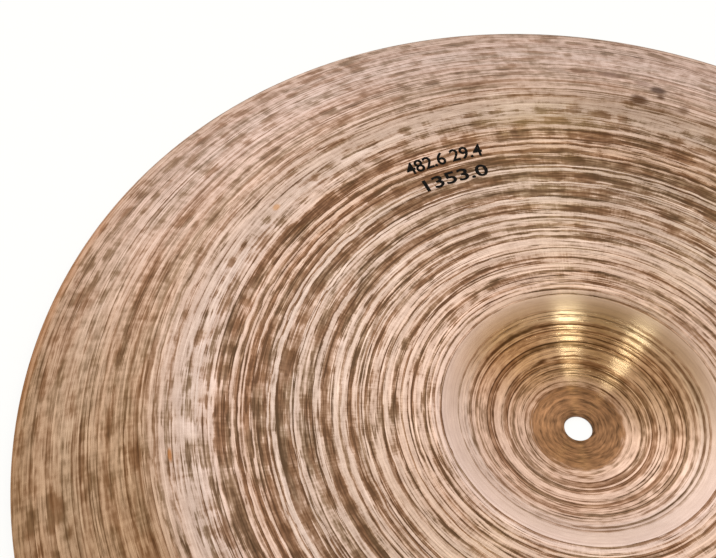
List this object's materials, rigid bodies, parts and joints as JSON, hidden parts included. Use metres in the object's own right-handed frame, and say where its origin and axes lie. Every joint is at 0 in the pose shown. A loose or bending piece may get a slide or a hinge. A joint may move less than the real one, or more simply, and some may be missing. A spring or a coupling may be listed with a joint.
{
  "type": "china cymbal",
  "caption": "Round bronze cymbal with a dished bell, a rising bow, a flange turned back at a crease, and a centre hole for a stand rod.",
  "frame": {"origin": "on the axis of the centre hole, at the underside of the flat seat round the hole, which is what the cymbal stands on", "axes": "+Z along the axis, out of the hollow side of the bell, which is the side the picture shows; X and Y lie in the plane of the rim, and the turned plate is the same all round"},
  "size_m": [0.4826, 0.4826, 0.0294],
  "materials": {
    "turned_bronze": "hammered and lathe-turned, pale pinkish cut bands between darker brown hammered rings, golden in the bell",
    "stamped_ink": "matt black ink film"
  },
  "bodies": {
    "root": {"cymbal": "turned_bronze"}
  },
  "joints": []
}
